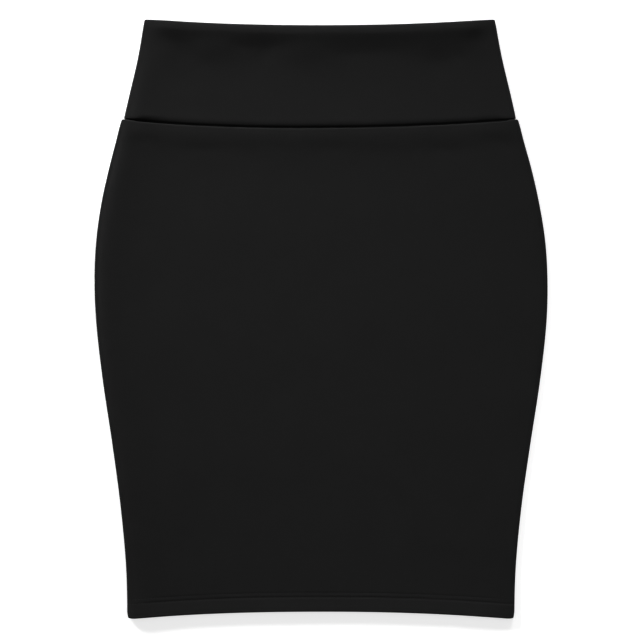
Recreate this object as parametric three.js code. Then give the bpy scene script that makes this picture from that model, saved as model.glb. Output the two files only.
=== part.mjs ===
// A pull-on pencil skirt of black stretch knit, laid flat on its back. Sizes are in millimetres.
// X runs across the skirt, Y from the hem to the waist, and Z up from the surface that it lies on.
// Four pieces of cloth make a flattened tube: the front and back of a high folded waistband, and
// the front and back of the skirt, which are joined at the side seams and along the waist seam.
import * as THREE from "three";

// Cloth
const CLOTH = 1.0; // one layer of ponte knit
const DOUBLED = 2.1; // two layers, where cloth is folded on itself
const SEAM_GAP = 0.3; // between pieces that are sewn together
const LAYER_STEP = 0.5; // the length over which a wall goes from one layer to two

// Lengths, measured down from the waistband's top corners
const LENGTH = 583.5;
const WAIST_SEAM = 98;
const HIP = 255.5; // the widest line
const SEAM_ALLOWANCE = 10; // turned in along the waist seam
const HEM_DEPTH = 22; // turned up along the hem
const HEM_STITCHES = [14.3, 18.5]; // two rows of stitching, measured up from the hem
const BACK_SHY = 0.8; // how far the back's waist and hem edges stay behind the front's

// Edges
const FOLD_RADIUS = DOUBLED / 2;
const LIP_RADIUS = 2.4; // where the cloth rolls over into the waist seam
const LIP_DROP = 1.1; // how deep it rolls
const CHANNEL_DEPTH = 0.3; // how deep the hem's stitches pull in
const BAND_CORNER = 1.5; // corners rounded in plan
const PANEL_CORNER = 2.6; // and as much as the panel is wider than the band, below the seam
const HEM_CORNER = 4;
const SIDE_ROLL = 2.4; // radius of the rolled edge at a side seam
const SIDE_WALL = 1.2; // the wall's thickness where it meets a side seam
const SHOULDER = { reach: 14, drop: 0.3 }; // the gentle slope before the rolled edge
const SIDE_RIDGE = { reach: 34, rise: 0.8 }; // cloth lifted by what is sewn in at a side seam
const RIDGE_FADES = { from: 3, over: 1.6 }; // as the face stands higher on doubled cloth

// How each line across the skirt curves: its middle hangs below its ends by "dip", with this
// power of the distance from the middle.
const DIP_POWER = 2.2;

// The outlines: half the width of each line across, how far its middle leans to +X, and its dip.
const BAND_OUTLINE = [
  { below: 0, half: 170.7, lean: -1.3, dip: 6.0 },
  { below: 37, half: 177.2, lean: -1.0, dip: 6.6 },
  { below: 72, half: 185.3, lean: -0.9, dip: 7.0 },
  { below: WAIST_SEAM, half: 191.0, lean: -1.0, dip: 8.0 },
];
const PANEL_OUTLINE = [
  { below: WAIST_SEAM, half: 191.0 + PANEL_CORNER, lean: -1.0, dip: 8.0 },
  { below: 115, half: 198.0, lean: -1.0, dip: 7.6 },
  { below: 146, half: 206.0, lean: -0.8, dip: 6.2 },
  { below: 180, half: 213.5, lean: -0.7, dip: 5.0 },
  { below: 217, half: 218.9, lean: -0.3, dip: 3.6 },
  { below: HIP, half: 220.7, lean: 0, dip: 2.2 },
  { below: 294, half: 219.4, lean: 0.3, dip: 0.8 },
  { below: 350, half: 213.2, lean: 0.4, dip: -1.2 },
  { below: 415, half: 203.4, lean: 0.3, dip: -3.6 },
  { below: 475, half: 195.2, lean: 0, dip: -5.4 },
  { below: 535, half: 189.7, lean: -0.1, dip: -6.8 },
  { below: LENGTH, half: 188.5, lean: -0.2, dip: -7.4 },
];

// The section down the middle: the height of the front's face, and of the side seams.
const SECTION = [
  { below: 0, face: 5.1, seam: 2.5 },
  { below: 4, face: 5.3, seam: 2.5 },
  { below: 18, face: 4.95, seam: 2.5 },
  { below: 50, face: 4.95, seam: 2.5 },
  { below: 80, face: 5.1, seam: 2.5 },
  { below: WAIST_SEAM, face: 5.3, seam: 2.5 },
  { below: 109, face: 5.0, seam: 2.5 },
  { below: 124, face: 3.9, seam: 2.2 },
  { below: 150, face: 3.3, seam: 2.0 },
  { below: 220, face: 3.1, seam: 1.9 },
  { below: 320, face: 3.4, seam: 1.9 },
  { below: 420, face: 3.2, seam: 1.9 },
  { below: 500, face: 3.2, seam: 2.0 },
  { below: 540, face: 3.8, seam: 2.2 },
  { below: 560, face: 4.9, seam: 2.5 },
  { below: LENGTH, face: 5.1, seam: 2.5 },
];

// The tables as smooth curves over "below".
const curveOf = (table, ...keys) =>
  new THREE.CubicInterpolant(
    table.map((row) => row.below),
    table.flatMap((row) => keys.map((key) => row[key])),
    keys.length,
  );
const bandOutline = curveOf(BAND_OUTLINE, "half", "lean", "dip");
const panelOutline = curveOf(PANEL_OUTLINE, "half", "lean", "dip");
const sectionCurve = curveOf(SECTION, "face", "seam");

const within = (value) => THREE.MathUtils.clamp(value, 0, 1);
const ease = (share) => THREE.MathUtils.smoothstep(share, 0, 1);

// How far a round of this radius has fallen away at a distance from its edge.
const roundOff = (distance, radius) =>
  distance < radius ? radius - Math.sqrt(radius ** 2 - (radius - distance) ** 2) : 0;

// The front's face above the surface below, before it rolls over at a side seam.
function faceHeight(below, fromSide, face) {
  const single = 1 - within((face - RIDGE_FADES.from) / RIDGE_FADES.over);
  const ridge = SIDE_RIDGE.rise * single * ease(1 - fromSide / SIDE_RIDGE.reach);
  const shoulder = SHOULDER.drop * ease(1 - fromSide / SHOULDER.reach);
  return face + ridge - shoulder;
}

const ROLL_TURNS = [90, 68, 46, 22, 0]; // degrees round a rolled edge
const SHOULDER_MIDDLE = 6.5;

// Columns across a piece: its flat part, the shoulders, and the rolled edges by their angle.
function columnsAcross(flatColumns) {
  const half = [
    ...ROLL_TURNS.map((degrees) => ({ inset: SIDE_ROLL, turn: degrees })),
    { inset: SHOULDER_MIDDLE, turn: 0 },
    { inset: SHOULDER.reach, turn: 0 },
  ];
  const flat = [];
  for (let i = 1; i < flatColumns; i++) flat.push({ share: (2 * i) / flatColumns - 1, turn: 0 });
  return [
    ...half.map((column) => ({ ...column, sign: -1 })),
    ...flat,
    ...half.map((column) => ({ ...column, sign: 1 })).reverse(),
  ];
}

// One point of a row: on its outer face, and on its inner face one wall away.
// side is 1 for the front, which faces up, and -1 for the back, which faces down.
function clothPoints(row, column, side) {
  const [half, lean, dip] = row.outline.evaluate(row.below);
  const [face, seam] = sectionCurve.evaluate(row.below);
  const wide = half - row.narrow;
  const turn = THREE.MathUtils.degToRad(column.turn);
  const flatEdge = wide - SHOULDER.reach;
  let across = column.sign ? column.sign * (wide - column.inset) : column.share * flatEdge;
  const fromSide = wide - Math.abs(across);
  const top = side > 0 ? faceHeight(row.below, fromSide, face) - seam : seam;
  const start = SEAM_GAP / 2;
  const rise = start + (top - start) * Math.cos(turn);
  across += (column.sign || 0) * SIDE_ROLL * Math.sin(turn);

  const wall = THREE.MathUtils.lerp(row.wall, Math.min(row.wall, SIDE_WALL), Math.sin(turn) ** 2);
  const outward = new THREE.Vector3((column.sign || 0) * Math.sin(turn), 0, side * Math.cos(turn));
  const hang = dip * (1 - Math.abs(across / wide) ** DIP_POWER);
  const point = new THREE.Vector3(lean + across, LENGTH / 2 - row.below - hang, seam + side * rise);
  return {
    outer: point.clone().addScaledVector(outward, -row.outerCut),
    inner: point.clone().addScaledVector(outward, row.innerCut - wall),
  };
}

// A closed wall of cloth: an outer and an inner face, and a rim round both.
function clothWall(rows, columns, side) {
  const across = side > 0 ? columns : [...columns].reverse();
  const outer = [];
  const inner = [];
  for (const row of rows) {
    for (const column of across) {
      const points = clothPoints(row, column, side);
      outer.push(points.outer);
      inner.push(points.inner);
    }
  }
  const wide = across.length;
  const count = outer.length;
  const index = [];
  const quad = (a, b, c, d) => index.push(a, b, c, a, c, d);
  for (let r = 0; r + 1 < rows.length; r++) {
    for (let c = 0; c + 1 < wide; c++) {
      const a = r * wide + c;
      quad(a, a + wide, a + wide + 1, a + 1);
      quad(count + a, count + a + 1, count + a + wide + 1, count + a + wide);
    }
    const first = r * wide;
    const last = first + wide - 1;
    quad(first, count + first, count + first + wide, first + wide);
    quad(last, last + wide, count + last + wide, count + last);
  }
  const bottom = (rows.length - 1) * wide;
  for (let c = 0; c + 1 < wide; c++) {
    quad(c, c + 1, count + c + 1, count + c);
    quad(bottom + c, count + bottom + c, count + bottom + c + 1, bottom + c + 1);
  }
  return new THREE.BufferGeometry().setFromPoints([...outer, ...inner]).setIndex(index);
}

const NEAR = 0.01; // how closely a row has to lie on a line to belong to it
const FOLD_ROUND_LIMIT = 0.8 * FOLD_RADIUS; // leaves the fold's edge a little height

// A row of a piece that runs from "from" to "to": its wall, and how its faces round off at the ends.
// A folded end rounds both faces, and a sewn end only the outer one, into the seam.
function clothRow(below, piece) {
  const down = below - piece.from;
  const up = piece.to - below;
  const folded = piece.foldAtTop ? down : up;
  const sewn = piece.foldAtTop ? up : down;
  const round = Math.min(roundOff(folded, FOLD_RADIUS), FOLD_ROUND_LIMIT);
  const lip = (LIP_DROP / LIP_RADIUS) * roundOff(sewn, LIP_RADIUS);
  const stitched = HEM_STITCHES.some((height) => Math.abs(up - height) < NEAR);
  const channel = !piece.foldAtTop && stitched ? CHANNEL_DEPTH : 0;
  return {
    below,
    outline: piece.outline,
    wall: piece.layersAt(down, up) > 1 ? DOUBLED : CLOTH,
    outerCut: round + lip + channel,
    innerCut: round,
    narrow: roundOff(folded, piece.foldCorner) + roundOff(sewn, piece.seamCorner),
  };
}

const evenly = (from, to, steps) =>
  Array.from({ length: steps + 1 }, (_, i) => THREE.MathUtils.lerp(from, to, i / steps));

const FOLD_STEPS = [0, 0.3, FOLD_RADIUS];
const LIP_STEPS = [0, 0.3, 1.1, LIP_RADIUS];
const BAND_LINES = [4, 10, 18, 34, 52, 70, 84]; // below the waist
const ALLOWANCE_LINES = [5.5, SEAM_ALLOWANCE]; // below the waist seam
const UPPER_LINES = [121, 135]; // below the waist
const HIP_RUN = { from: 155, steps: 3 };
const BODY_RUN = { to: 540, steps: 7 };
const HEM_APPROACH = 551;
const HEM_LINES = [12.5, HEM_CORNER, 2]; // above the hem

function waistbandRows(shy) {
  const piece = {
    from: shy,
    to: WAIST_SEAM - SEAM_GAP / 2,
    foldAtTop: true,
    outline: bandOutline,
    foldCorner: BAND_CORNER,
    seamCorner: 0,
    layersAt: () => 2,
  };
  const places = [
    ...FOLD_STEPS.map((step) => piece.from + step),
    ...BAND_LINES,
    ...LIP_STEPS.map((step) => piece.to - step).reverse(),
  ];
  return places.map((below) => clothRow(below, piece));
}

function panelRows(shy) {
  const piece = {
    from: WAIST_SEAM + SEAM_GAP / 2,
    to: LENGTH - shy,
    foldAtTop: false,
    outline: panelOutline,
    foldCorner: HEM_CORNER,
    seamCorner: PANEL_CORNER,
    layersAt: (down, up) => (down < SEAM_ALLOWANCE + NEAR || up < HEM_DEPTH + NEAR ? 2 : 1),
  };
  const [lower, upper] = HEM_STITCHES;
  const between = (lower + upper) / 2;
  const bodyTop = piece.from + SEAM_ALLOWANCE + LAYER_STEP;
  const hemTop = piece.to - HEM_DEPTH - LAYER_STEP;
  const places = [
    ...LIP_STEPS.map((step) => piece.from + step),
    ...ALLOWANCE_LINES.map((step) => piece.from + step),
    bodyTop,
    ...UPPER_LINES,
    ...evenly(HIP_RUN.from, HIP, HIP_RUN.steps),
    ...evenly(HIP, BODY_RUN.to, BODY_RUN.steps).slice(1),
    ...[HEM_APPROACH, hemTop],
    ...[HEM_DEPTH, upper, between, lower, ...HEM_LINES].map((step) => piece.to - step),
    ...FOLD_STEPS.map((step) => piece.to - step).reverse(),
  ];
  return places.map((below) => clothRow(below, piece));
}

// The knit's colour and finish, the same on every piece.
function knit() {
  return new THREE.MeshStandardMaterial({ color: 0x1b1b1b, roughness: 0.92, metalness: 0 });
}

// One named piece; side is 1 for the front and -1 for the back.
function clothPiece(name, rows, flatColumns, side) {
  const mesh = new THREE.Mesh(clothWall(rows, columnsAcross(flatColumns), side), knit());
  mesh.name = name;
  mesh.geometry.computeVertexNormals();
  return mesh;
}

const FRONT_COLUMNS = 10;
const BACK_COLUMNS = 6;

const skirt = new THREE.Group();
skirt.add(clothPiece("waistband_front", waistbandRows(0), FRONT_COLUMNS, 1));
skirt.add(clothPiece("waistband_back", waistbandRows(BACK_SHY), BACK_COLUMNS, -1));
skirt.add(clothPiece("front_panel", panelRows(0), FRONT_COLUMNS, 1));
skirt.add(clothPiece("back_panel", panelRows(BACK_SHY), BACK_COLUMNS, -1));

export default skirt;
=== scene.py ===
"""A pull-on pencil skirt of black stretch knit, laid flat on its back.

X runs across the skirt, Y from the hem to the waist, and Z up from the surface that it lies on, in metres.
Each cut piece is one sheet of knit, walked from raw edge to raw edge: up out of the seam, over the fold or
lip, along the face, and round the next fold to the edge that is turned in. The front faces up, and the back
is the same with its face down. Two rows of stitching hold the hem.
"""

import math
from collections import namedtuple

import bpy
import numpy as np
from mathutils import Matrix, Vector


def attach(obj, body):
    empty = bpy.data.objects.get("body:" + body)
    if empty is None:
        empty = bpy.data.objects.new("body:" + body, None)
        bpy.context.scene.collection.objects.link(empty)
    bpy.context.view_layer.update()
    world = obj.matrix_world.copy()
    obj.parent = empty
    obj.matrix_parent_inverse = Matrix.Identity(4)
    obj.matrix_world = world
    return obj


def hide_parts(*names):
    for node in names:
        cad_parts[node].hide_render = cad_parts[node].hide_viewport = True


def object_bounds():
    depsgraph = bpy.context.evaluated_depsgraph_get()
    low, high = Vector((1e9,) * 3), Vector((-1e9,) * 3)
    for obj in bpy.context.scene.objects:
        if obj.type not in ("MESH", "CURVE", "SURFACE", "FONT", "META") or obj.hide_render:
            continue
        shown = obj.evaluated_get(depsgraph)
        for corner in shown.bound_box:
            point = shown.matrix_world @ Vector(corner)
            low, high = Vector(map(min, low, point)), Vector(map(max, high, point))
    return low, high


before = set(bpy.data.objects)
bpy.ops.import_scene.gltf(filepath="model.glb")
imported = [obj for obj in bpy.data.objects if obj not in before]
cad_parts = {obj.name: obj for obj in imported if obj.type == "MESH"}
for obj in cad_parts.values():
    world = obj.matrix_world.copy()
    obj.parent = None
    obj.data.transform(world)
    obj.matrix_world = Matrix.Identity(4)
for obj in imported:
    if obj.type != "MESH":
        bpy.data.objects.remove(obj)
CAD_BOX = [list(corner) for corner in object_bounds()]

bl_info = {
    "name": "Pencil skirt",
    "version": (1, 0, 0),
    "blender": (4, 5, 0),
    "location": "View3D > Sidebar > Skirt",
    "description": "Makes a knitted pencil skirt that is laid flat, piece by piece",
    "category": "Add Mesh",
}

MM = 0.001
BODY = "root"

# The length comes from the frame, and everything down the skirt is measured from its waist corners.
LENGTH = CAD_BOX[1][1] - CAD_BOX[0][1]
WAIST_SEAM = 98.0 * MM
HIP = 255.5 * MM
DIP_POWER = 2.2  # how a line dips between its ends: 2 is a parabola, and more is flatter in the middle

# The outlines: a row for each line across, with how far it is below the waist corners, half its width, how
# far its middle leans to +X, how far its middle hangs below its ends, and how much more its left half does.
Line = namedtuple("Line", "below half lean dip skew", defaults=[0])
BAND_OUTLINE = [
    Line(0, 0.1707, -0.0013, 0.0060),
    Line(0.037, 0.1772, -0.0010, 0.0066),
    Line(0.072, 0.1853, -0.0009, 0.0070, 0.0006),
    Line(WAIST_SEAM, 0.1910, -0.0010, 0.0078, 0.0011),
]
PANEL_OUTLINE = [
    Line(WAIST_SEAM, 0.1931, -0.0011, 0.0079, 0.0011),
    Line(0.115, 0.1976, -0.0011, 0.0074, 0.0009),
    Line(0.146, 0.2060, -0.0008, 0.0061, 0.0004),
    Line(0.180, 0.2135, -0.0007, 0.0050),
    Line(0.217, 0.2189, -0.0003, 0.0036),
    Line(HIP, 0.2207, 0, 0.0022),
    Line(0.294, 0.2194, 0.0003, 0.0008),
    Line(0.350, 0.2132, 0.0004, -0.0012),
    Line(0.415, 0.2034, 0.0003, -0.0036),
    Line(0.475, 0.1952, 0, -0.0054),
    Line(0.535, 0.1897, -0.0001, -0.0068),
    Line(LENGTH, 0.1885, -0.0002, -0.0074),
]

# The height of the front's face down the middle and beside the side seams, how far in from a side seam the
# middle's height holds, how high the low ridge beside the left side seam is, and the height of the seams.
Height = namedtuple("Height", "below middle side reach ridge seam")
HEIGHTS = [
    Height(0, 0.0094, 0.0062, 0.026, 0.0005, 0.0025),
    Height(0.003, 0.0099, 0.0062, 0.026, 0.0005, 0.0025),
    Height(0.006, 0.0101, 0.0062, 0.026, 0.0005, 0.0025),
    Height(0.009, 0.0099, 0.0060, 0.027, 0.0006, 0.0025),
    Height(0.012, 0.00925, 0.0057, 0.028, 0.0006, 0.0025),
    Height(0.016, 0.00845, 0.0055, 0.029, 0.0007, 0.0025),
    Height(0.020, 0.0077, 0.0053, 0.030, 0.0007, 0.0025),
    Height(0.024, 0.00705, 0.0051, 0.032, 0.0008, 0.0025),
    Height(0.028, 0.0065, 0.0050, 0.034, 0.0008, 0.0025),
    Height(0.034, 0.0059, 0.0049, 0.038, 0.0008, 0.0025),
    Height(0.042, 0.0053, 0.0048, 0.044, 0.0009, 0.0025),
    Height(0.054, 0.00495, 0.0049, 0.050, 0.0009, 0.0025),
    Height(0.072, 0.0050, 0.0050, 0.056, 0.0010, 0.0025),
    Height(0.086, 0.0053, 0.0054, 0.056, 0.0010, 0.0025),
    Height(WAIST_SEAM, 0.0059, 0.0059, 0.056, 0.0012, 0.0025),
    Height(0.105, 0.0060, 0.0058, 0.056, 0.0014, 0.0025),
    Height(0.1115, 0.0056, 0.0054, 0.060, 0.0016, 0.0024),
    Height(0.1205, 0.0047, 0.0046, 0.064, 0.0017, 0.0022),
    Height(0.138, 0.0040, 0.0042, 0.072, 0.0018, 0.0020),
    Height(0.180, 0.0038, 0.0040, 0.075, 0.0017, 0.0019),
    Height(0.260, 0.0038, 0.0040, 0.075, 0.0015, 0.0019),
    Height(0.400, 0.0038, 0.0039, 0.070, 0.0011, 0.0019),
    Height(0.460, 0.0040, 0.0041, 0.064, 0.0009, 0.0020),
    Height(0.510, 0.0043, 0.0044, 0.056, 0.0008, 0.0022),
    Height(0.545, 0.0047, 0.0047, 0.050, 0.0007, 0.0024),
    Height(0.5625, 0.00515, 0.0051, 0.046, 0.0008, 0.0025),
    Height(0.5695, 0.0053, 0.0053, 0.040, 0.0009, 0.0025),
    Height(0.576, 0.0060, 0.0056, 0.034, 0.0010, 0.0025),
    Height(LENGTH, 0.0070, 0.0060, 0.030, 0.0010, 0.0025),
]

# Beside a side seam the face rises off the rolled edge to a low ridge, and then settles.
SHOULDER_REACH = 14 * MM
RIDGE_AT = 10 * MM
RIDGE_SHARE = {-1: 1.6, 1: 0.2}  # left and right
ROLL = 2.85 * MM  # the radius of the rolled edge

# Soft creases of the front: where, how long and wide, how deep (less than nothing is a ridge) and its turn.
Crease = namedtuple("Crease", "x y long wide deep turn")
CREASES = [
    # under the folded waist edge
    Crease(-0.147, 0.268, 0.036, 0.013, 0.0006, 4),
    Crease(-0.153, 0.275, 0.022, 0.012, 0.0006, 8),
    Crease(-0.134, 0.258, 0.014, 0.016, 0.0005, 0),
    Crease(-0.105, 0.263, 0.036, 0.017, -0.0008, 2),
    Crease(-0.055, 0.265, 0.058, 0.013, 0.0006, 0),
    Crease(-0.057, 0.256, 0.019, 0.019, 0.0009, 0),
    Crease(-0.016, 0.260, 0.036, 0.019, -0.0007, -3),
    Crease(0.046, 0.258, 0.060, 0.018, 0.0008, -2),
    Crease(0.082, 0.265, 0.056, 0.013, 0.0002, 3),
    Crease(0.113, 0.250, 0.036, 0.023, 0.0010, -8),
    Crease(0.134, 0.256, 0.014, 0.012, 0.0005, 0),
    Crease(0.148, 0.272, 0.026, 0.013, 0.0006, 6),
    # above the waist seam
    Crease(-0.120, 0.214, 0.046, 0.018, -0.00027, 6),
    Crease(-0.020, 0.208, 0.060, 0.016, -0.00020, -3),
    Crease(0.085, 0.210, 0.050, 0.018, -0.00024, 4),
    # below the waist seam
    Crease(-0.171, 0.174, 0.026, 0.011, 0.00051, 10),
    Crease(-0.115, 0.165, 0.030, 0.010, 0.00054, 3),
    Crease(-0.044, 0.168, 0.018, 0.010, 0.00034, -8),
    Crease(0.010, 0.166, 0.024, 0.012, 0.00027, 6),
    Crease(0.122, 0.164, 0.032, 0.012, 0.00058, -5),
    Crease(0.172, 0.173, 0.036, 0.011, 0.00051, -12),
    Crease(0.062, 0.170, 0.030, 0.010, -0.00020, 3),
    # over the hips, where the cloth eases into the side seams
    Crease(-0.176, 0.082, 0.040, 0.018, 0.00037, 62),
    Crease(-0.165, 0.028, 0.034, 0.020, 0.00034, 75),
    Crease(-0.183, 0.004, 0.040, 0.014, -0.00027, 80),
    Crease(0.196, -0.040, 0.044, 0.012, 0.00044, 84),
    Crease(0.198, -0.108, 0.036, 0.012, 0.00051, 96),
    Crease(0.180, 0.060, 0.050, 0.018, 0.00027, 104),
    # down the front
    Crease(-0.140, -0.088, 0.050, 0.024, 0.00031, 88),
    Crease(0.004, 0.110, 0.060, 0.034, 0.00024, 20),
    Crease(-0.020, 0.004, 0.090, 0.040, 0.00027, 12),
    Crease(0.080, -0.120, 0.100, 0.038, 0.00024, -16),
    Crease(-0.060, -0.180, 0.080, 0.034, 0.00027, 18),
    # above the hem
    Crease(-0.150, -0.236, 0.040, 0.016, 0.00031, 12),
    Crease(0.120, -0.232, 0.050, 0.018, 0.00027, -8),
]
BACK_CREASES = {"skirt_knit": 0.8, "band_knit": 0.3}  # how deep the back's creases are beside the front's

# Slow swells of the whole cloth: how long each wave is, which way it runs, how high it is and its start.
Swell = namedtuple("Swell", "long turn high start")
SWELLS = [
    Swell(0.171, 24, 0.00016, 0.9),
    Swell(0.113, 97, 0.00012, 2.1),
    Swell(0.079, 151, 0.00007, 4.4),
]
SWELL_STEADIES = 20 * MM  # swells die down this near to sewing
CREASE_FADES = 20 * MM  # and creases this near to a side seam

# Small gathers along a seam: how long each wave is, how high it is and its start.
Gather = namedtuple("Gather", "long high start")
GATHERS = [
    Gather(0.0131, 0.00005, 0.4),
    Gather(0.0213, 0.00007, 1.7),
    Gather(0.0370, 0.00008, 3.6),
]
GATHER_REACH = 7 * MM
HEM_GATHERS_ALONG = 50 * MM  # moves the hem's gathers along, so that they do not repeat the waist seam's
BACK_GATHERS = 0.5  # how high the back's gathers are beside the front's

# The front of the band rolls down into the waist seam and on behind the panel, which folds over it.
LIP_REACH = 8.4 * MM  # from the seam up to where the roll starts
LIP_CREVICE = 1.1 * MM  # from the seam up to the roll's lowest point
LIP_STEPS = [90, 82, 74, 66, 58, 50, 42, 34, 26, 18, 10]  # degrees of the roll, from the seam up
LIP_AT_SEAM = 0.97  # how far the roll has turned down where it meets its allowance
LIP_TUCK = 0.6  # the share of the crevice that the allowance lies under
LIP_ALLOWANCE = 6 * MM  # how much of the allowance goes on behind the panel
LIP_INSET = 0.9 * MM  # how much shorter the allowance is at each end
LIP_INSET_FROM = 0.9  # how far the roll has turned down where that begins
LIP_NARROWS = 6  # how much more sharply the lip turns down near a side seam, where the crevice closes
LIP_CLOSES = 1.2 * MM  # how far down the skirt the lip comes there
LIP_NARROW_REACH = 16 * MM  # and how far in from the side seam that goes
# The back of the band rounds off a little towards the seam.
BACK_LIP_REACH = 5 * MM
BACK_LIP_DROP = 0.9 * MM
BACK_LIP_STEPS = [0, 0.04, 0.12, 0.24, 0.4, 0.6, 0.8]  # shares of the reach, from the seam up
# Both ends of the waist seam turn up a little into the side seams.
SEAM_LIFT = 1.2 * MM
SEAM_LIFT_REACH = 20 * MM
BAND_INNER_SHORT = 10 * MM  # the band's inner layer stops this far above the waist seam

# How much wider the front's folds open than cloth that is pressed flat, and how far in that goes.
WAIST_SLACK = 1.2 * MM
HEM_SLACK = 0.35 * MM
SLACK_SETTLES = 12 * MM
SLACK_INNER = 26 * MM
SLACK_SIDE = 34 * MM

# How far each corner is pushed in along its diagonal, and how far from the corner that reaches.
BAND_CORNER = 0.3 * MM
PANEL_CORNER = 0.4 * MM
HEM_CORNER = 1.2 * MM
CORNER_REACH = 4.0 * MM
BACK_SHY = 0.8 * MM  # how far the back's waist and hem edges stay behind the front's

# How deep each row of stitches lies, how far it fades out before the left and right sides, and over how far.
Channel = namedtuple("Channel", "share left right settles")
CHANNELS = {
    "lower_row": Channel(0.80, 13 * MM, 0, 8 * MM),
    "upper_row": Channel(0.45, 24 * MM, 15 * MM, 8 * MM),
}
CHANNEL_WIDTH = 2.0 * MM
CHANNEL_LEFT_AT_SIDE = 0.25  # the share of its depth that a row keeps past where it fades
BACK_CHANNELS = 0.5  # how deep the back's rows lie beside the front's

# How far apart the columns and rows of a sheet are: away from folds and seams, beside them, and within.
FLAT_STEP = 3.1 * MM
SHOULDER_STEP = 2.4 * MM
ALLOWANCE_STEP = 2 * MM
NEAR_FOLD_STEP = 1.5 * MM
NEAR_SEAM_STEP = 0.8 * MM
FINE_STEP = 0.5 * MM
NEAR_FOLD = 8 * MM  # how far from a fold, and from a seam, their own steps go
NEAR_SEAM = 6 * MM
ROWS_MARGIN = 3 * MM  # how far past the stitches the fine steps go
FOLD_STEPS = 9
ROLL_STEPS = np.append(np.linspace(0, 80, 8), (86, 90))  # degrees round the rolled edge

# A stitch: its sides, its length beside the step to the next, the shares of its half length where it bends,
# how its ends thin, how its middle rises and its ends dip, and how far off it takes its heading from.
STITCH_SIDES = 6
STITCH_LONG = 0.86
STITCH_CUTS = (-0.72, -0.36, 0, 0.36, 0.72)
STITCH_TAPER = 0.35
STITCH_RISE = 0.35
STITCH_DIP = 1.7
STITCH_AIM = 0.5 * MM
STITCH_TURN = 40  # degrees: stitches stop where the rolled edge is steeper
BACK_THREAD_SUNK = 0.25 * MM  # the weight of the skirt presses the back's stitches into the cloth
CLOTH_SMOOTH = 50  # degrees between faces that are shaded as one
THREAD_SMOOTH = 60

# The knit's loops: how steeply they slant, and how deep the wave along them is.
LOOP_SLANT = 1.5
LOOP_WAVE = 0.35
# How much the mottling and the yarn tell in the colour, the loops as painted shade, and the yarn beside the
# loops in relief.
MOTTLE_TONE = 0.5
LOOP_PAINTED_SHADE = 0.25
YARN_TONE = 0.2
YARN_RELIEF = 0.35
# How rough the knit and the floor are at least, and how much more where they are uneven.
KNIT_ROUGH = 0.74
KNIT_UNEVEN = 0.16
FLOOR_ROUGH = 0.85
FLOOR_UNEVEN = 0.1
# How brightly the floor glows: painted light that fills in the skirt's shadows on it.
FLOOR_GLOW = 0.65
# How dark the painted shade is in the grooves between the thread's plies.
THREAD_PAINTED_SHADE = 0.6  # how dark the thread is between its plies

FLOOR_SIZE = 8.0
FLOOR_DROP = 0.3 * MM
CAMERA_LENS = 100.0
FRAME_WIDTH = 0.624
CAMERA_AIM = (-0.001, -0.0007)
WORLD_STRENGTH = 0.2
# The lights lie low on the waist's side: where each is, where it points, its width, watts and spread.
Light = namedtuple("Light", "name place aim size watts spread")
LIGHTS = [
    Light("key", (-2.75, 3.25, 1.55), (-0.045, 0.045, 0), 0.86, 3.38, 17.5),
    Light("fill", (0.6, 2.6, 1.1), (-0.155, -0.045, 0), 0.7, 3.36, 43),
]


class SkirtSizes(bpy.types.PropertyGroup):
    """What a maker would change about the cloth and the sewing"""

    cloth: bpy.props.FloatProperty(
        name="Cloth", description="Thickness of one layer of knit", default=1.0 * MM, unit="LENGTH"
    )
    fold_gap: bpy.props.FloatProperty(
        name="Fold gap", description="Air between two folded layers", default=0.1 * MM, unit="LENGTH"
    )
    seam_gap: bpy.props.FloatProperty(
        name="Seam gap",
        description="Between two pieces that are sewn together",
        default=0.3 * MM,
        unit="LENGTH",
    )
    seam_allowance: bpy.props.FloatProperty(
        name="Seam allowance", description="Turned in along the waist seam", default=10 * MM, unit="LENGTH"
    )
    hem_depth: bpy.props.FloatProperty(
        name="Hem depth", description="Turned up along the hem", default=22 * MM, unit="LENGTH"
    )
    lower_row: bpy.props.FloatProperty(
        name="Lower row",
        description="From the hem's edge to the lower stitches",
        default=14.3 * MM,
        unit="LENGTH",
    )
    upper_row: bpy.props.FloatProperty(
        name="Upper row",
        description="From the hem's edge to the upper stitches",
        default=18.5 * MM,
        unit="LENGTH",
    )
    channel_depth: bpy.props.FloatProperty(
        name="Channel depth",
        description="How far the stitches pull the cloth in",
        default=0.46 * MM,
        unit="LENGTH",
    )
    stitch: bpy.props.FloatProperty(
        name="Stitch", description="From one stitch to the next", default=3.0 * MM, unit="LENGTH"
    )
    thread: bpy.props.FloatProperty(
        name="Thread", description="Thickness of the sewing thread", default=0.36 * MM, unit="LENGTH"
    )
    wale: bpy.props.FloatProperty(
        name="Wale", description="Width of one column of the knit", default=0.80 * MM, unit="LENGTH"
    )
    course: bpy.props.FloatProperty(
        name="Course", description="Height of one row of the knit", default=0.62 * MM, unit="LENGTH"
    )


class SkirtColours(bpy.types.PropertyGroup):
    """The colours of the cloth, the thread and the stage"""

    knit: bpy.props.FloatVectorProperty(
        name="Knit",
        description="Colour of the cloth",
        subtype="COLOR",
        size=4,
        default=(0.0100, 0.0100, 0.0100, 1),
    )
    # The paler end of the knit's colour: the mottling reaches it at random, and the tops of the loops as
    # painted light.
    knit_mottled_and_lit: bpy.props.FloatVectorProperty(
        name="Knit, raised",
        description="Colour of the tops of the loops",
        subtype="COLOR",
        size=4,
        default=(0.0137, 0.0137, 0.0137, 1),
    )
    thread: bpy.props.FloatVectorProperty(
        name="Thread",
        description="Colour of the stitches",
        subtype="COLOR",
        size=4,
        default=(0.007, 0.007, 0.007, 1),
    )
    floor: bpy.props.FloatVectorProperty(
        name="Floor",
        description="Colour of the floor",
        subtype="COLOR",
        size=4,
        default=(0.86, 0.86, 0.86, 1),
    )


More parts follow.
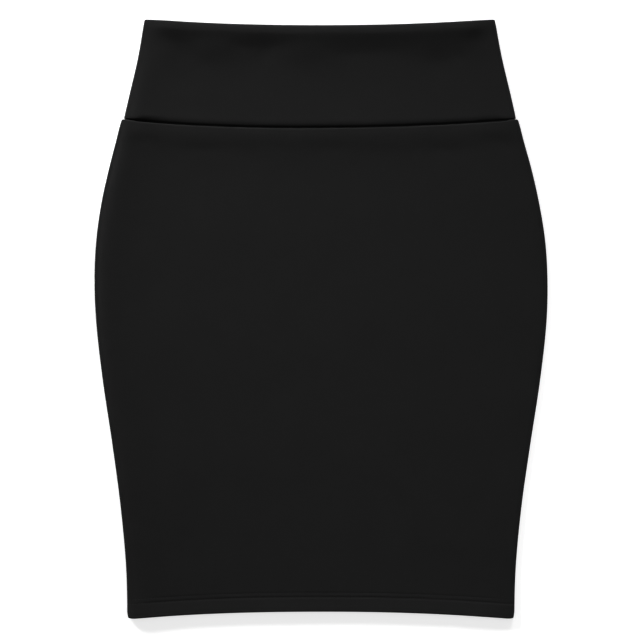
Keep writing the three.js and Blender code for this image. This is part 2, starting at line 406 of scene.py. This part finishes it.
# A cut piece: its side is 1 at the front and -1 at the back, and it runs down from its start to its end.
Piece = namedtuple("Piece", "name node slot side outline start end")
FRONT_PANEL = Piece("front_panel_knit", "front_panel", "skirt_knit", 1, PANEL_OUTLINE, WAIST_SEAM, LENGTH)
BACK_PANEL = Piece(
    "back_panel_knit", "back_panel", "skirt_knit", -1, PANEL_OUTLINE, WAIST_SEAM, LENGTH - BACK_SHY
)
FRONT_BAND = Piece("waistband_front_knit", "waistband_front", "band_knit", 1, BAND_OUTLINE, 0, WAIST_SEAM)
BACK_BAND = Piece(
    "waistband_back_knit", "waistband_back", "band_knit", -1, BAND_OUTLINE, BACK_SHY, WAIST_SEAM
)

# The rows of a sheet: how far below the waist corners each is, how deep under the face, how far turned into
# the lip, and how much further in and deeper a slack fold takes it.
Run = namedtuple("Run", "below depth lip slack_in slack_depth corners")
RUN_ROWS = 5  # the columns of a run that hold a value for each row
Corner = namedtuple("Corner", "below way push")  # way is 1 where a corner is pushed down, and -1 up
# The columns of a sheet: each is a share of the flat width, or an inset from a side and a turn of its roll.
Columns = namedtuple("Columns", "side share inset turn")


# Curves and slopes


def smooth_curve(table, at):
    """The table's values at each distance in its first column, on a smooth curve through its rows."""
    rows = np.array(table, float)
    place, value = rows[:, 0], rows[:, 1:]
    slope = np.diff(value, axis=0) / np.diff(place)[:, None]
    inner = (slope[:-1] + slope[1:]) / 2
    tangent = np.vstack([(3 * slope[0] - inner[0]) / 2, inner, (3 * slope[-1] - inner[-1]) / 2])
    i = np.clip(np.searchsorted(place, at) - 1, 0, len(place) - 2)
    wide = (place[i + 1] - place[i])[:, None]
    t = ((at - place[i]) / wide[:, 0])[:, None]
    return (
        (1 + 2 * t) * (1 - t) ** 2 * value[i]
        + t * (1 - t) ** 2 * wide * tangent[i]
        + t * t * (3 - 2 * t) * value[i + 1]
        + t * t * (t - 1) * wide * tangent[i + 1]
    ).T


def ease(share):
    """From 0 to 1, level at both ends."""
    share = np.clip(share, 0, 1)
    return share * share * (3 - 2 * share)


def round_off(distance, radius):
    """How far a round of this radius has fallen away at a distance from its edge."""
    left = np.clip(radius - distance, 0, radius)
    return radius - np.sqrt(radius**2 - left**2)


def spaced(start, end, step):
    """Evenly spaced places from start up to, and not at, end."""
    return np.linspace(start, end, max(1, round(abs(end - start) / step)), endpoint=False)


# The front's relief


def creases(x, y):
    """How far the soft creases take the front's face down at each point."""
    down = np.zeros_like(x)
    for c in CREASES:
        turn = math.radians(c.turn)
        along = (x - c.x) * math.cos(turn) + (y - c.y) * math.sin(turn)
        over = (y - c.y) * math.cos(turn) - (x - c.x) * math.sin(turn)
        down += c.deep * np.exp(-((2 * along / c.long) ** 2) - (2 * over / c.wide) ** 2)
    return down


def swells(x, y):
    """The height of the cloth's slow swells at each point."""
    up = np.zeros_like(x)
    for s in SWELLS:
        turn = math.radians(s.turn)
        along = x * math.cos(turn) + y * math.sin(turn)
        up += s.high * np.sin(2 * math.pi * along / s.long + s.start)
    return up


def gathers(x, distance):
    """The small gathers that a seam makes, at a distance from it."""
    up = sum(g.high * np.sin(2 * math.pi * x / g.long + g.start) for g in GATHERS)
    return up * np.exp(-np.abs(distance) / GATHER_REACH)


def channels(sizes, below, end, across, from_side):
    """How far the two rows of hem stitches pull the face in; each fades out towards the side seams."""
    pulled = 0
    for row, channel in CHANNELS.items():
        fades = np.where(across < 0, channel.left, channel.right)
        inside = ease((from_side - fades) / channel.settles)
        held = CHANNEL_LEFT_AT_SIDE + (1 - CHANNEL_LEFT_AT_SIDE) * inside
        off = end - getattr(sizes, row) - below
        pulled += channel.share * held * sizes.channel_depth * np.exp(-((2 * off / CHANNEL_WIDTH) ** 2))
    return pulled


# Sheets of knit


def columns_across():
    """The columns across a piece: the flat part, and at each side the slope and the rolled edge."""
    slope = spaced(SHOULDER_REACH, ROLL, SHOULDER_STEP)
    inset = np.concatenate([slope, np.full(len(ROLL_STEPS), ROLL)])
    turn = np.concatenate([np.zeros(len(slope)), ROLL_STEPS])
    flat = np.linspace(-1, 1, round(2 * BAND_OUTLINE[-1].half / FLAT_STEP))[1:-1]
    zero = np.zeros(len(flat))
    return Columns(
        np.concatenate([-np.ones(len(inset)), zero, np.ones(len(inset))]),
        np.concatenate([0 * inset, flat, 0 * inset]),
        np.concatenate([inset[::-1], zero, inset]),
        np.radians(np.concatenate([turn[::-1], zero, turn])),
    )


def face_points(piece, sizes, run, columns):
    """The points of a piece's right side: a row for each step of its run, a column for each across."""
    half, lean, dip, skew = (v[:, None] for v in smooth_curve(piece.outline, run.below))
    middle, side_height, reach, ridge, seam = (v[:, None] for v in smooth_curve(HEIGHTS, run.below))
    sign = columns.side
    lip = run.lip[:, None]

    wide = half - LIP_INSET * ease((lip - LIP_INSET_FROM) / (1 - LIP_INSET_FROM))
    across = columns.share * (wide - SHOULDER_REACH) + sign * (wide - columns.inset)
    across = across + sign * ROLL * np.sin(columns.turn)
    from_side = wide - np.abs(across)
    slack = ease((from_side - ROLL) / SLACK_SIDE)
    depth = run.depth[:, None] + run.slack_depth[:, None] * slack
    tight = 1 - ease((from_side - ROLL) / LIP_NARROW_REACH)
    below = run.below[:, None] + run.slack_in[:, None] * slack + LIP_CLOSES * lip * tight * (piece.side > 0)
    hang = dip * (1 - np.abs(across / wide) ** DIP_POWER)
    hang = hang - skew * across / wide * (1 - (across / wide) ** 2)
    hang = hang - SEAM_LIFT * tight * np.exp(-(((run.below[:, None] - WAIST_SEAM) / SEAM_LIFT_REACH) ** 2))
    x = lean + across
    y = CAD_BOX[1][1] - below - hang

    inner = ease((from_side - ROLL) / reach)
    start = sizes.seam_gap / 2
    hem_row = LENGTH - sizes.upper_row
    steadied = sum(np.exp(-(((below - sewn) / SWELL_STEADIES) ** 2)) for sewn in (WAIST_SEAM, hem_row))
    seam_gathers = gathers(x, below - WAIST_SEAM) + gathers(x + HEM_GATHERS_ALONG, below - hem_row)
    if piece.side > 0:
        rise = side_height + (middle - side_height) * inner - seam
        beside = np.clip(from_side - ROLL, 0, None) / RIDGE_AT
        share = np.where(across < 0, RIDGE_SHARE[-1], RIDGE_SHARE[1])
        rise = rise + share * ridge * beside * np.exp(1 - beside)
        rise = rise - creases(x, y) * ease(from_side / CREASE_FADES) + swells(x, y) * inner * (1 - steadied)
        rise = rise + seam_gathers
        narrowed = lip ** (1 + LIP_NARROWS * tight)
        rise = rise + (start + sizes.cloth - rise) * narrowed
    else:
        rise = seam + BACK_GATHERS * seam_gathers
        rise = rise - BACK_CREASES[piece.slot] * creases(-x, y) * ease(from_side / CREASE_FADES)
        rise = np.minimum(rise, seam) - BACK_LIP_DROP * lip
    if piece.end > WAIST_SEAM:
        pressed = channels(sizes, below, piece.end, across, from_side)
        rise = rise - pressed * (1 if piece.side > 0 else BACK_CHANNELS)
    height = start + (rise - start) * np.cos(columns.turn)

    for corner in run.corners:
        away = np.hypot(wide - np.abs(across), below - corner.below)
        pushed = corner.push * math.sqrt(0.5) * np.exp(-((away / CORNER_REACH) ** 2))
        x = x - np.sign(across) * pushed
        y = y - corner.way * pushed
    x = x - sign * np.sin(columns.turn) * depth
    z = seam + piece.side * (height - np.cos(columns.turn) * depth)
    return np.stack([x, y, z], axis=-1)


def fold(edge, way, sizes, slack, layer):
    """A fold at an edge and the layer that it turns in, at these places: a run without a lip or corners.

    Way is -1 at an upper edge and 1 at a lower one. The fold opens as a loop, and the turned-in layer
    comes back up to lie close under the face.
    """
    radius = sizes.cloth + sizes.fold_gap / 2
    turn = np.linspace(0, math.pi, FOLD_STEPS)
    near = 1 - ease((way * (edge - layer) - radius) / SLACK_SETTLES)
    close = 1 - ease((way * (edge - layer) - radius) / SLACK_INNER)
    none = 0 * layer
    return Run(
        np.concatenate([edge - way * radius * (1 - np.sin(turn)), layer]),
        np.concatenate([radius * (1 - np.cos(turn)), none + 2 * radius]),
        np.zeros(len(turn) + len(layer)),
        np.concatenate([-way * slack * (1 - np.sin(turn)), -way * slack * near]),
        np.concatenate([slack * (1 - np.cos(turn)), 2 * slack * close]),
        (),
    )


def face_run(below, edges, sizes):
    """The run of a face between its folds; each edge is where a fold is, its way and its slack."""
    radius = sizes.cloth + sizes.fold_gap / 2
    shift = sum(
        -way * slack * (1 - ease((way * (edge - below) - radius) / SLACK_SETTLES))
        for edge, way, slack in edges
    )
    return Run(below, 0 * below, 0 * below, shift + 0 * below, 0 * below, ())


def join_runs(runs, corners):
    """Runs one after another, as one."""
    return Run(*(np.concatenate([run[i] for run in runs]) for i in range(RUN_ROWS)), corners)


def backwards(run):
    """The same run from its end to its start."""
    return Run(*(run[i][::-1] for i in range(RUN_ROWS)), run.corners)


def panel_run(piece, sizes):
    """A panel's run: up its allowance, over the fold at the waist seam, down its face, and round the hem."""
    top = piece.start + sizes.seam_gap / 2
    radius = sizes.cloth + sizes.fold_gap / 2
    slack = HEM_SLACK if piece.side > 0 else 0
    rows_top = piece.end - sizes.upper_row - ROWS_MARGIN
    rows_end = piece.end - sizes.lower_row + ROWS_MARGIN
    face = np.concatenate([
        spaced(top + radius, top + NEAR_SEAM, NEAR_SEAM_STEP)[1:],
        spaced(top + NEAR_SEAM, rows_top, FLAT_STEP),
        spaced(rows_top, rows_end, FINE_STEP),
        spaced(rows_end, piece.end - radius, NEAR_FOLD_STEP),
    ])
    allowance = spaced(top + sizes.seam_allowance, top + radius, ALLOWANCE_STEP)[::-1]
    turned_up = np.concatenate([
        spaced(piece.end - sizes.hem_depth, rows_end, FINE_STEP),
        spaced(rows_end, piece.end - radius, ALLOWANCE_STEP),
    ])[::-1]
    return join_runs(
        [
            backwards(fold(top, -1, sizes, 0, allowance)),
            face_run(face, [(piece.end, 1, slack)], sizes),
            fold(piece.end, 1, sizes, slack, turned_up),
        ],
        (Corner(top, 1, PANEL_CORNER), Corner(piece.end, -1, HEM_CORNER)),
    )


def band_run(piece, sizes):
    """A band's run: out of the waist seam, up its face, over the waist's fold, and down inside."""
    bottom = piece.end - sizes.seam_gap / 2
    radius = sizes.cloth + sizes.fold_gap / 2
    if piece.side > 0:
        angle = np.radians(LIP_STEPS)
        below = bottom - LIP_CREVICE - (LIP_REACH - LIP_CREVICE) * (1 - np.sin(angle))
        lip = 1 - np.cos(angle)
        lip[0] = LIP_AT_SEAM
        under = spaced(bottom + LIP_ALLOWANCE, bottom, NEAR_FOLD_STEP)
        under = np.append(under, bottom - LIP_TUCK * LIP_CREVICE)
        below = np.concatenate([under, below])
        lip = np.concatenate([0 * under + 1, lip])
        reach, slack = LIP_REACH, WAIST_SLACK
    else:
        below = bottom - np.array(BACK_LIP_STEPS) * BACK_LIP_REACH
        lip = round_off(bottom - below, BACK_LIP_REACH) / BACK_LIP_REACH
        reach, slack = BACK_LIP_REACH, 0
    fold_start = piece.start + radius
    face = spaced(bottom - reach, fold_start + NEAR_FOLD, FLAT_STEP)
    face = np.concatenate([face, spaced(fold_start + NEAR_FOLD, fold_start, NEAR_FOLD_STEP)])
    inner = spaced(bottom - BAND_INNER_SHORT, fold_start, FLAT_STEP)[::-1]
    seam = Run(below, 0 * below, lip, 0 * below, 0 * below, ())
    return join_runs(
        [
            seam,
            face_run(face, [(piece.start, -1, slack)], sizes),
            fold(piece.start, -1, sizes, slack, inner),
        ],
        (Corner(piece.start, 1, BAND_CORNER),),
    )


def step_lengths(points, axis):
    """How far it is along an axis of the grid from its start, in a straight line from point to point."""
    steps = np.linalg.norm(np.diff(points, axis=axis), axis=-1)
    return np.concatenate([0 * steps.take([0], axis), np.cumsum(steps, axis=axis)], axis=axis)


def knit_map(points):
    """Where each point is on the flat cloth: across it from its middle, and along it from its first edge."""
    across = step_lengths(points, 1)
    centre = points.shape[1] // 2
    across = across - across[:, centre : centre + 1]
    along = step_lengths(points, 0)[:, centre : centre + 1]
    heading = np.sign(np.gradient(points[:, centre, 1]))[:, None]
    along = along + heading * (points[:, :, 1] - points[:, centre : centre + 1, 1])
    return np.stack([across, along], axis=-1)


def select_only(piece):
    """Leaves one piece selected and active."""
    bpy.ops.object.select_all(action="DESELECT")
    piece.select_set(True)
    bpy.context.view_layer.objects.active = piece


def read_rows(items, name, width, kind=np.float32):
    """One property of all of a mesh's vertices, corners or faces: a row for each."""
    flat = np.zeros(len(items) * width, kind)
    items.foreach_get(name, flat)
    return flat.reshape(-1, width)


def grid_mesh(name, points):
    """A grid with its points in these places, and its knit map in metres."""
    rows, wide = points.shape[:2]
    bpy.ops.object.select_all(action="DESELECT")
    bpy.ops.mesh.primitive_grid_add(x_subdivisions=wide - 1, y_subdivisions=rows - 1, size=2)
    sheet = bpy.context.object
    sheet.name = sheet.data.name = name
    place = read_rows(sheet.data.vertices, "co", 3)
    column = np.rint((place[:, 0] + 1) / 2 * (wide - 1)).astype(int)
    row = np.rint((place[:, 1] + 1) / 2 * (rows - 1)).astype(int)
    sheet.data.vertices.foreach_set("co", points[row, column].astype(np.float32).ravel())
    corner = read_rows(sheet.data.loops, "vertex_index", 1, np.int32)[:, 0]
    layer = sheet.data.uv_layers[0]
    layer.name = "knit"
    flat = knit_map(points)[row, column][corner]
    layer.data.foreach_set("uv", flat.astype(np.float32).ravel())
    sheet.data.update()
    return sheet


def select_faces(piece):
    """Edit mode on one piece, with every face selected."""
    select_only(piece)
    bpy.ops.object.mode_set(mode="EDIT")
    bpy.ops.mesh.select_all(action="SELECT")


def face_outwards(sheet, side):
    """Turns the sheet's faces so that its right side is the one that shows."""
    height = read_rows(sheet.data.polygons, "center", 3)[:, 2]
    shown = np.argmax(side * height)
    if read_rows(sheet.data.polygons, "normal", 3)[shown, 2] * side < 0:
        select_faces(sheet)
        bpy.ops.mesh.flip_normals()
        bpy.ops.object.mode_set(mode="OBJECT")


def thicken(sheet, cloth):
    """Gives the sheet its wall, inwards from the right side."""
    wall = sheet.modifiers.new("wall", "SOLIDIFY")
    wall.thickness = cloth
    wall.offset = -1
    wall.use_even_offset = True
    wall.use_quality_normals = True
    select_only(sheet)
    bpy.ops.object.modifier_apply(modifier=wall.name)
    bpy.ops.object.shade_smooth_by_angle(angle=math.radians(CLOTH_SMOOTH))


def make_sheet(piece, run, material, sizes):
    """One cut piece of knit, in place."""
    points = face_points(piece, sizes, run, columns_across())
    sheet = grid_mesh(piece.name, points)
    face_outwards(sheet, piece.side)
    thicken(sheet, sizes.cloth)
    sheet.data.materials.clear()
    sheet.data.materials.append(material)
    width = float(step_lengths(points, 1)[:, -1].max())
    length = float(step_lengths(points, 0)[-1].max())
    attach(sheet, BODY)
    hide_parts(piece.node)


# Materials


def node(tree, kind, **inputs):
    """A shader node, with its settings and the values of its sockets."""
    made = tree.nodes.new(kind)
    for name, value in inputs.items():
        if hasattr(made, name):
            setattr(made, name, value)
        else:
            made.inputs[name.replace("_", " ")].default_value = value
    return made


def maths(tree, operation, first, second=None):
    """A Math node on sockets or numbers, and its result."""
    made = tree.nodes.new("ShaderNodeMath")
    made.operation = operation
    for socket, value in zip(made.inputs, (first, second)):
        if isinstance(value, bpy.types.NodeSocket):
            tree.links.new(value, socket)
        elif value is not None:
            socket.default_value = value
    return made.outputs[0]


def new_material(name, **sockets):
    """A new material, its node tree and its shader, with these values on the shader's own sockets."""
    material = bpy.data.materials.new(name)
    material.use_nodes = True
    tree = material.node_tree
    shader = tree.nodes["Principled BSDF"]
    for socket, value in sockets.items():
        shader.inputs[socket.replace("_", " ")].default_value = value
    return material, tree, shader


def loop_height(tree, place, sizes):
    """The relief of plain knit: columns of loops that meet in a V, from the knit map."""
    parts = tree.nodes.new("ShaderNodeSeparateXYZ")
    tree.links.new(place, parts.inputs[0])
    wale = maths(tree, "DIVIDE", parts.outputs["X"], sizes.wale)
    course = maths(tree, "DIVIDE", parts.outputs["Y"], sizes.course)
    across = maths(tree, "ABSOLUTE", maths(tree, "SUBTRACT", maths(tree, "FRACT", wale), 0.5))
    slanted = maths(tree, "ADD", course, maths(tree, "MULTIPLY", across, LOOP_SLANT))
    along = maths(tree, "COSINE", maths(tree, "MULTIPLY", slanted, 2 * math.pi))
    leg = maths(tree, "SINE", maths(tree, "MULTIPLY", across, 2 * math.pi))
    loop = maths(tree, "ADD", maths(tree, "MULTIPLY", along, LOOP_WAVE), 1 - LOOP_WAVE)
    return maths(tree, "MULTIPLY", leg, loop)


def knit_material(name, sizes, colours):
    """Black ponte: a fine knit with a matt, slightly brushed face."""
    material, tree, shader = new_material(
        name,
        IOR=1.45,
        Specular_IOR_Level=0.07,
        Sheen_Weight=0.03,
        Sheen_Roughness=0.45,
        Sheen_Tint=(1, 1, 1, 1),
    )
    place = node(tree, "ShaderNodeUVMap", uv_map="knit").outputs["UV"]
    loops = loop_height(tree, place, sizes)

    mottle = node(tree, "ShaderNodeTexNoise", Scale=36.0, Detail=3.0, Roughness=0.55)
    tree.links.new(place, mottle.inputs["Vector"])
    yarn = node(tree, "ShaderNodeTexNoise", Scale=900.0, Detail=2.0, Roughness=0.6)
    tree.links.new(place, yarn.inputs["Vector"])
    mottle_and_loop_shade = maths(tree, "MULTIPLY", mottle.outputs["Fac"], MOTTLE_TONE)
    # The loops tell in the colour as painted shade: darker between them, lighter on their tops.
    mottle_and_loop_shade = maths(tree, "ADD", mottle_and_loop_shade, maths(tree, "MULTIPLY", loops, LOOP_PAINTED_SHADE))
    mottle_and_loop_shade = maths(tree, "ADD", mottle_and_loop_shade, maths(tree, "MULTIPLY", yarn.outputs["Fac"], YARN_TONE))
    ramp = node(tree, "ShaderNodeValToRGB")
    ramp.color_ramp.elements[0].position = 0.25
    ramp.color_ramp.elements[0].color = colours.knit
    # The paler end: random mottling, and painted light on the tops of the loops.
    ramp.color_ramp.elements[1].position = 0.85
    ramp.color_ramp.elements[1].color = colours.knit_mottled_and_lit
    tree.links.new(mottle_and_loop_shade, ramp.inputs["Fac"])
    tree.links.new(ramp.outputs["Color"], shader.inputs["Base Color"])

    rough = maths(tree, "ADD", maths(tree, "MULTIPLY", mottle.outputs["Fac"], KNIT_UNEVEN), KNIT_ROUGH)
    tree.links.new(rough, shader.inputs["Roughness"])
    relief = maths(tree, "ADD", loops, maths(tree, "MULTIPLY", yarn.outputs["Fac"], YARN_RELIEF))
    bump = node(tree, "ShaderNodeBump", Strength=0.55, Distance=0.12 * MM)
    tree.links.new(relief, bump.inputs["Height"])
    tree.links.new(bump.outputs["Normal"], shader.inputs["Normal"])
    return material


def thread_material(sizes, colours):
    """Spun sewing thread, with the slant of its plies and painted shade between them."""
    material, tree, shader = new_material("black_thread", Roughness=0.6, Specular_IOR_Level=0.25)
    place = node(tree, "ShaderNodeTexCoord").outputs["Object"]
    plies = node(
        tree, "ShaderNodeTexWave", wave_type="BANDS", bands_direction="DIAGONAL", Scale=420.0, Distortion=0.6
    )
    tree.links.new(place, plies.inputs["Vector"])
    ramp = node(tree, "ShaderNodeValToRGB")
    # Painted shade: the thread is darker in the grooves between its plies.
    ramp.color_ramp.elements[0].color = [THREAD_PAINTED_SHADE * c for c in colours.thread[:3]] + [1]
    ramp.color_ramp.elements[1].color = colours.thread
    tree.links.new(plies.outputs["Fac"], ramp.inputs["Fac"])
    tree.links.new(ramp.outputs["Color"], shader.inputs["Base Color"])
    bump = node(tree, "ShaderNodeBump", Strength=0.5, Distance=0.08 * MM)
    tree.links.new(plies.outputs["Fac"], bump.inputs["Height"])
    tree.links.new(bump.outputs["Normal"], shader.inputs["Normal"])
    return material


def floor_material(colours):
    """A plain pale floor with a faint unevenness, which glows: painted light that lifts it to white and
    fills in the skirt's shadows on it.
    """
    # The emission is painted light, which lifts the floor to white and fills in the skirt's shadows on it.
    material, tree, shader = new_material(
        "pale_floor",
        Base_Color=colours.floor,
        Specular_IOR_Level=0.1,
        Emission_Color=(1, 1, 1, 1),
        Emission_Strength=FLOOR_GLOW,
    )
    grain = node(tree, "ShaderNodeTexNoise", Scale=60.0, Detail=2.0)
    tree.links.new(node(tree, "ShaderNodeTexCoord").outputs["Object"], grain.inputs["Vector"])
    rough = maths(tree, "ADD", maths(tree, "MULTIPLY", grain.outputs["Fac"], FLOOR_UNEVEN), FLOOR_ROUGH)
    tree.links.new(rough, shader.inputs["Roughness"])
    return material


# Stitches


def one_stitch(sizes):
    """One stitch along X, standing in its holes at both ends: a tube of thread, and its mesh."""
    bpy.ops.object.select_all(action="DESELECT")
    radius = sizes.thread / 2
    long = STITCH_LONG * sizes.stitch
    bpy.ops.mesh.primitive_cylinder_add(
        vertices=STITCH_SIDES, radius=radius, depth=long, rotation=(0, math.pi / 2, 0)
    )
    stitch = bpy.context.object
    bpy.ops.object.transform_apply(location=True, rotation=True, scale=True)
    bpy.ops.object.mode_set(mode="EDIT")
    for share in STITCH_CUTS:
        bpy.ops.mesh.select_all(action="SELECT")
        bpy.ops.mesh.bisect(plane_co=(share * long / 2, 0, 0), plane_no=(1, 0, 0))
    bpy.ops.object.mode_set(mode="OBJECT")
    for vertex in stitch.data.vertices:
        end = abs(vertex.co.x) / (long / 2)
        thin = 1 - STITCH_TAPER * end**4
        vertex.co.y *= thin
        vertex.co.z = vertex.co.z * thin + radius * (STITCH_RISE - STITCH_DIP * end**2.5)
    return stitch


def stitch_line(piece, sizes, row):
    """Points along a row of stitches, on the face of its panel."""
    below = np.array([piece.end - row])
    run = face_run(below, [], sizes)
    points = face_points(piece, sizes, run, columns_across())[0]
    upright = columns_across().turn < math.radians(STITCH_TURN)
    return points[upright]


def make_stitches(piece, material, sizes):
    """Both rows of stitches on one panel's hem, copied from one stitch and joined."""
    stitch = one_stitch(sizes)
    shape = np.array([v.co for v in stitch.data.vertices])
    sides = [tuple(p.vertices) for p in stitch.data.polygons]
    bpy.data.objects.remove(stitch)
    sunk = np.array([0, 0, BACK_THREAD_SUNK if piece.side < 0 else 0])
    points, faces = [], []
    for row in (sizes.lower_row, sizes.upper_row):
        line = stitch_line(piece, sizes, row)
        along = np.concatenate([[0], np.cumsum(np.linalg.norm(np.diff(line, axis=0), axis=1))])
        count = int(along[-1] // sizes.stitch)
        first = (along[-1] - (count - 1) * sizes.stitch) / 2
        for i in range(count):
            here, ahead = (
                np.array([np.interp(first + i * sizes.stitch + d, along, line[:, k]) for k in range(3)])
                for d in (-STITCH_AIM, STITCH_AIM)
            )
            x_axis = (ahead - here) / np.linalg.norm(ahead - here)
            y_axis = np.cross([0, 0, piece.side], x_axis)
            y_axis /= np.linalg.norm(y_axis)
            turned = np.stack([x_axis, y_axis, np.cross(x_axis, y_axis)])
            base = len(points) * len(shape)
            faces += [tuple(base + v for v in side) for side in sides]
            points.append((here + ahead) / 2 + shape @ turned + sunk)
    mesh = bpy.data.meshes.new(piece.node + "_hem_stitches")
    mesh.from_pydata(np.concatenate(points).tolist(), [], faces)
    mesh.materials.append(material)
    rows = bpy.data.objects.new(mesh.name, mesh)
    bpy.context.scene.collection.objects.link(rows)
    select_faces(rows)
    bpy.ops.mesh.normals_make_consistent(inside=False)
    bpy.ops.object.mode_set(mode="OBJECT")
    bpy.ops.object.shade_smooth_by_angle(angle=math.radians(THREAD_SMOOTH))
    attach(rows, BODY)


# Stage


def softbox(name, place, aim, size, watts, spread):
    """A square soft light at a place, turned to its aim, with a grid that keeps it within a spread."""
    light = bpy.data.lights.new(name, "AREA")
    light.shape = "SQUARE"
    light.size = size
    light.energy = watts
    light.spread = math.radians(spread)
    lamp = bpy.data.objects.new(name, light)
    lamp.location = place
    lamp.visible_camera = False
    lamp.rotation_euler = (Vector(aim) - Vector(place)).to_track_quat("-Z", "Y").to_euler()
    bpy.context.scene.collection.objects.link(lamp)


def shared_material(name, make):
    """The material of that name, made the first time that it is asked for."""
    return bpy.data.materials.get(name) or make()


# Operators


class SKIRT_OT_panels(bpy.types.Operator):
    """Makes the front and back panels, with their hems turned up"""

    bl_idname = "skirt.panels"
    bl_label = "Skirt panels"

    def execute(self, context):
        sizes, colours = context.scene.skirt_sizes, context.scene.skirt_colours
        knit = shared_material("skirt_ponte", lambda: knit_material("skirt_ponte", sizes, colours))
        make_sheet(BACK_PANEL, panel_run(BACK_PANEL, sizes), knit, sizes)
        make_sheet(FRONT_PANEL, panel_run(FRONT_PANEL, sizes), knit, sizes)
        return {"FINISHED"}


class SKIRT_OT_waistband(bpy.types.Operator):
    """Makes the folded front and back of the waistband"""

    bl_idname = "skirt.waistband"
    bl_label = "Waistband"

    def execute(self, context):
        sizes, colours = context.scene.skirt_sizes, context.scene.skirt_colours
        knit = shared_material("band_ponte", lambda: knit_material("band_ponte", sizes, colours))
        make_sheet(BACK_BAND, band_run(BACK_BAND, sizes), knit, sizes)
        make_sheet(FRONT_BAND, band_run(FRONT_BAND, sizes), knit, sizes)
        return {"FINISHED"}


class SKIRT_OT_hem_stitches(bpy.types.Operator):
    """Sews the two rows of stitches round the hem"""

    bl_idname = "skirt.hem_stitches"
    bl_label = "Hem stitches"

    def execute(self, context):
        sizes, colours = context.scene.skirt_sizes, context.scene.skirt_colours
        thread = shared_material("black_thread", lambda: thread_material(sizes, colours))
        make_stitches(FRONT_PANEL, thread, sizes)
        make_stitches(BACK_PANEL, thread, sizes)
        return {"FINISHED"}


class SKIRT_OT_stage(bpy.types.Operator):
    """Sets the floor, the soft lights and the camera that looks straight down"""

    bl_idname = "skirt.stage"
    bl_label = "Stage"

    def execute(self, context):
        scene = context.scene
        bpy.ops.object.select_all(action="DESELECT")
        bpy.ops.mesh.primitive_plane_add(size=FLOOR_SIZE, location=(0, 0, -FLOOR_DROP))
        bpy.ops.object.transform_apply(location=True, rotation=True, scale=True)
        floor = context.object
        floor.name = "floor"
        floor.data.materials.append(floor_material(scene.skirt_colours))

        world = bpy.data.worlds.new("studio")
        scene.world = world
        world.use_nodes = True
        background = world.node_tree.nodes["Background"]
        background.inputs["Color"].default_value = (1, 1, 1, 1)
        background.inputs["Strength"].default_value = WORLD_STRENGTH
        for light in LIGHTS:
            softbox(*light)

        camera = bpy.data.cameras.new("above")
        camera.lens = CAMERA_LENS
        above = bpy.data.objects.new("above", camera)
        above.location = (*CAMERA_AIM, FRAME_WIDTH * CAMERA_LENS / camera.sensor_width)
        scene.collection.objects.link(above)
        scene.camera = above
        scene.view_settings.view_transform = "Standard"
        return {"FINISHED"}


class SKIRT_PT_pieces(bpy.types.Panel):
    """The skirt's sizes, colours and pieces"""

    bl_idname = "SKIRT_PT_pieces"
    bl_label = "Pencil skirt"
    bl_space_type = "VIEW_3D"
    bl_region_type = "UI"
    bl_category = "Skirt"

    def draw(self, context):
        layout = self.layout
        for group in (context.scene.skirt_sizes, context.scene.skirt_colours):
            for name in group.__annotations__:
                layout.prop(group, name)
        for operator in OPERATORS:
            layout.operator(operator.bl_idname)


OPERATORS = (SKIRT_OT_stage, SKIRT_OT_waistband, SKIRT_OT_panels, SKIRT_OT_hem_stitches)
CLASSES = (SkirtSizes, SkirtColours, *OPERATORS, SKIRT_PT_pieces)


def register():
    for made in CLASSES:
        bpy.utils.register_class(made)
    bpy.types.Scene.skirt_sizes = bpy.props.PointerProperty(type=SkirtSizes)
    bpy.types.Scene.skirt_colours = bpy.props.PointerProperty(type=SkirtColours)


def unregister():
    del bpy.types.Scene.skirt_colours
    del bpy.types.Scene.skirt_sizes
    for made in reversed(CLASSES):
        bpy.utils.unregister_class(made)


def main():
    """Makes the skirt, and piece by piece."""
    register()
    bpy.ops.skirt.stage()
    bpy.ops.skirt.waistband()
    bpy.ops.skirt.panels()
    bpy.ops.skirt.hem_stitches()


if __name__ == "__main__":
    main()
